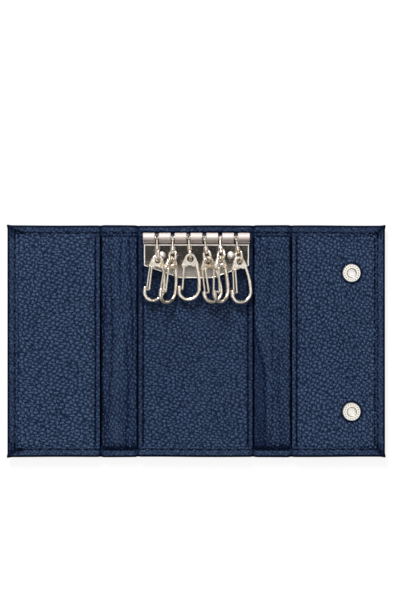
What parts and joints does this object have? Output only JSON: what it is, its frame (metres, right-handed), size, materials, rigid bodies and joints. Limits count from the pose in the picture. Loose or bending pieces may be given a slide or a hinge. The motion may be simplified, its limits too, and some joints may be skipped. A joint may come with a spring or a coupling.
{
  "type": "key case",
  "caption": "Trifold leather key case lying open: hook plate with swivel snap hooks in the centre, gusseted spines, and press studs that close the flaps.",
  "frame": {"origin": "under the middle of the open case, at the height of the stud tips it rests on", "axes": "+X across the folds to the flap with the sockets, +Y up the case to the hook row, +Z out of the inner face"},
  "size_m": [0.1674, 0.1028, 0.0143],
  "materials": {
    "leather_cover": "pebbled, satin",
    "leather_panel": "pebbled, satin",
    "leather_gusset": "soft, lightly grained",
    "stiffener_board": "bonded fibre board",
    "snap_nickel": "nickel plated",
    "spring_steel": "nickel plated spring wire",
    "plate_nickel": "polished nickel",
    "hook_nickel": "nickel plated, cast"
  },
  "bodies": {
    "centre": {"centre_cover": "leather_cover", "centre_panel": "leather_panel", "centre_board": "stiffener_board", "hook_plate": "plate_nickel", "hook_rod": "plate_nickel", "plate_rivets": "plate_nickel", "rivet_washers": "plate_nickel"},
    "left_spine": {"left_spine_cover": "leather_cover", "left_gusset": "leather_gusset"},
    "left_flap": {"left_flap_cover": "leather_cover", "left_flap_panel": "leather_panel", "left_flap_board": "stiffener_board", "snap_studs": "snap_nickel", "stud_posts": "snap_nickel"},
    "right_spine": {"right_spine_cover": "leather_cover", "right_gusset": "leather_gusset"},
    "right_flap": {"right_flap_cover": "leather_cover", "right_flap_panel": "leather_panel", "right_flap_board": "stiffener_board", "snap_caps": "snap_nickel", "snap_sockets": "snap_nickel", "socket_springs": "spring_steel"},
    "rod_loop_1": {"rod_loop_1": "hook_nickel"},
    "swivel_ring_1": {"swivel_ring_1": "hook_nickel"},
    "hook_1": {"hook_1": "hook_nickel"},
    "hook_gate_1": {"hook_gate_1": "spring_steel"},
    "rod_loop_2": {"rod_loop_2": "hook_nickel"},
    "swivel_ring_2": {"swivel_ring_2": "hook_nickel"},
    "hook_2": {"hook_2": "hook_nickel"},
    "hook_gate_2": {"hook_gate_2": "spring_steel"},
    "rod_loop_3": {"rod_loop_3": "hook_nickel"},
    "swivel_ring_3": {"swivel_ring_3": "hook_nickel"},
    "hook_3": {"hook_3": "hook_nickel"},
    "hook_gate_3": {"hook_gate_3": "spring_steel"},
    "rod_loop_4": {"rod_loop_4": "hook_nickel"},
    "swivel_ring_4": {"swivel_ring_4": "hook_nickel"},
    "hook_4": {"hook_4": "hook_nickel"},
    "hook_gate_4": {"hook_gate_4": "spring_steel"},
    "rod_loop_5": {"rod_loop_5": "hook_nickel"},
    "swivel_ring_5": {"swivel_ring_5": "hook_nickel"},
    "hook_5": {"hook_5": "hook_nickel"},
    "hook_gate_5": {"hook_gate_5": "spring_steel"},
    "rod_loop_6": {"rod_loop_6": "hook_nickel"},
    "swivel_ring_6": {"swivel_ring_6": "hook_nickel"},
    "hook_6": {"hook_6": "hook_nickel"},
    "hook_gate_6": {"hook_gate_6": "spring_steel"}
  },
  "joints": [
    {"name": "left_spine_fold", "type": "hinge", "parent": "centre", "child": "left_spine", "pos_m": [-0.026, 0, 0.00334], "axis": [0, 1, 0], "range_deg": [0, 103]},
    {"name": "left_flap_fold", "type": "hinge", "parent": "left_spine", "child": "left_flap", "pos_m": [-0.0422, 0, 0.00334], "axis": [0, 1, 0], "range_deg": [0, 81]},
    {"name": "right_spine_fold", "type": "hinge", "parent": "centre", "child": "right_spine", "pos_m": [0.0254, 0, 0.00334], "axis": [0, -1, 0], "range_deg": [0, 90]},
    {"name": "right_flap_fold", "type": "hinge", "parent": "right_spine", "child": "right_flap", "pos_m": [0.042, 0, 0.00334], "axis": [0, -1, 0], "range_deg": [0, 86]},
    {"name": "hook_1_swing", "type": "hinge", "parent": "centre", "child": "rod_loop_1", "pos_m": [-0.01733, 0.04585, 0.00674], "axis": [1, 0, 0], "range_deg": [-150, 0]},
    {"name": "hook_1_swivel", "type": "hinge", "parent": "rod_loop_1", "child": "swivel_ring_1", "pos_m": [-0.01719, 0.03819, 0.00755], "axis": [-0.0174, 0.9944, -0.1045], "range_deg": [-4, 0]},
    {"name": "hook_1_sway", "type": "hinge", "parent": "swivel_ring_1", "child": "hook_1", "pos_m": [-0.01715, 0.03586, 0.00779], "axis": [0, 0, 1], "range_deg": [-5, 3]},
    {"name": "hook_1_gate", "type": "hinge", "parent": "hook_1", "child": "hook_gate_1", "pos_m": [-0.01991, 0.03319, 0.00863], "axis": [0.338, -0.055, 0.9395], "range_deg": [0, 18], "stiffness_Nm_per_rad": 0.01},
    {"name": "hook_2_swing", "type": "hinge", "parent": "centre", "child": "rod_loop_2", "pos_m": [-0.01035, 0.04585, 0.00674], "axis": [1, 0, 0], "range_deg": [-150, 0]},
    {"name": "hook_2_swivel", "type": "hinge", "parent": "rod_loop_2", "child": "swivel_ring_2", "pos_m": [-0.01035, 0.0378, 0.00875], "axis": [0, 0.9703, -0.2419], "range_deg": [0, 4]},
    {"name": "hook_2_lift", "type": "hinge", "parent": "swivel_ring_2", "child": "hook_2", "pos_m": [-0.01083, 0.03494, 0.00906], "axis": [0.7198, -0.1857, 0.6688], "range_deg": [-40, 0]},
    {"name": "hook_2_gate", "type": "hinge", "parent": "hook_2", "child": "hook_gate_2", "pos_m": [-0.01305, 0.03227, 0.01089], "axis": [0.6898, -0.082, 0.7193], "range_deg": [0, 18], "stiffness_Nm_per_rad": 0.01},
    {"name": "hook_3_swing", "type": "hinge", "parent": "centre", "child": "rod_loop_3", "pos_m": [-0.00338, 0.04585, 0.00674], "axis": [1, 0, 0], "range_deg": [-150, 0]},
    {"name": "hook_3_swivel", "type": "hinge", "parent": "rod_loop_3", "child": "swivel_ring_3", "pos_m": [-0.00272, 0.03822, 0.00755], "axis": [-0.0867, 0.9907, -0.1045], "range_deg": [-5, 5]},
    {"name": "hook_3_rise", "type": "hinge", "parent": "swivel_ring_3", "child": "hook_3", "pos_m": [-0.00256, 0.03639, 0.00774], "axis": [1, 0, 0], "range_deg": [-30, 0]},
    {"name": "hook_3_gate", "type": "hinge", "parent": "hook_3", "child": "hook_gate_3", "pos_m": [-0.00529, 0.03356, 0.00772], "axis": [-0.0004, -0.0087, 1], "range_deg": [0, 18], "stiffness_Nm_per_rad": 0.01},
    {"name": "hook_4_swing", "type": "hinge", "parent": "centre", "child": "rod_loop_4", "pos_m": [0.00359, 0.04585, 0.00674], "axis": [1, 0, 0], "range_deg": [-150, 0]},
    {"name": "hook_4_swivel", "type": "hinge", "parent": "rod_loop_4", "child": "swivel_ring_4", "pos_m": [0.0048, 0.03772, 0.0079], "axis": [-0.1464, 0.9794, -0.1392], "range_deg": [-3, 0]},
    {"name": "hook_4_sway", "type": "hinge", "parent": "swivel_ring_4", "child": "hook_4", "pos_m": [0.00517, 0.03522, 0.00825], "axis": [0, 0, 1], "range_deg": [-2, 0.3]},
    {"name": "hook_4_gate", "type": "hinge", "parent": "hook_4", "child": "hook_gate_4", "pos_m": [0.00334, 0.03195, 0.00942], "axis": [0.4666, 0.0542, 0.8828], "range_deg": [0, 18], "stiffness_Nm_per_rad": 0.01},
    {"name": "hook_5_swing", "type": "hinge", "parent": "centre", "child": "rod_loop_5", "pos_m": [0.01056, 0.04585, 0.00674], "axis": [1, 0, 0], "range_deg": [-150, 0]},
    {"name": "hook_5_swivel", "type": "hinge", "parent": "rod_loop_5", "child": "swivel_ring_5", "pos_m": [0.01096, 0.03816, 0.00985], "axis": [-0.0485, 0.9259, -0.3746], "range_deg": [0, 3]},
    {"name": "hook_5_lift", "type": "hinge", "parent": "swivel_ring_5", "child": "hook_5", "pos_m": [0.01063, 0.03534, 0.01056], "axis": [0.7236, -0.053, 0.6882], "range_deg": [-40, 0]},
    {"name": "hook_5_gate", "type": "hinge", "parent": "hook_5", "child": "hook_gate_5", "pos_m": [0.00888, 0.03235, 0.0124], "axis": [0.7193, 0.0065, 0.6946], "range_deg": [0, 18], "stiffness_Nm_per_rad": 0.01},
    {"name": "hook_6_swing", "type": "hinge", "parent": "centre", "child": "rod_loop_6", "pos_m": [0.01752, 0.04585, 0.00674], "axis": [1, 0, 0], "range_deg": [-150, 0]},
    {"name": "hook_6_swivel", "type": "hinge", "parent": "rod_loop_6", "child": "swivel_ring_6", "pos_m": [0.01881, 0.03772, 0.00783], "axis": [-0.1551, 0.9792, -0.1305], "range_deg": [-12, 0]},
    {"name": "hook_6_lift", "type": "hinge", "parent": "swivel_ring_6", "child": "hook_6", "pos_m": [0.0189, 0.03509, 0.00784], "axis": [0.7008, -0.0585, 0.711], "range_deg": [-15, 0]},
    {"name": "hook_6_gate", "type": "hinge", "parent": "hook_6", "child": "hook_gate_6", "pos_m": [0.01668, 0.03195, 0.00865], "axis": [0.3429, 0.0011, 0.9394], "range_deg": [0, 18], "stiffness_Nm_per_rad": 0.01}
  ],
  "couplings": [
    {"joint": "hook_2_swing", "follows": "hook_1_swing", "ratio": 1},
    {"joint": "hook_5_swing", "follows": "hook_4_swing", "ratio": 1}
  ]
}
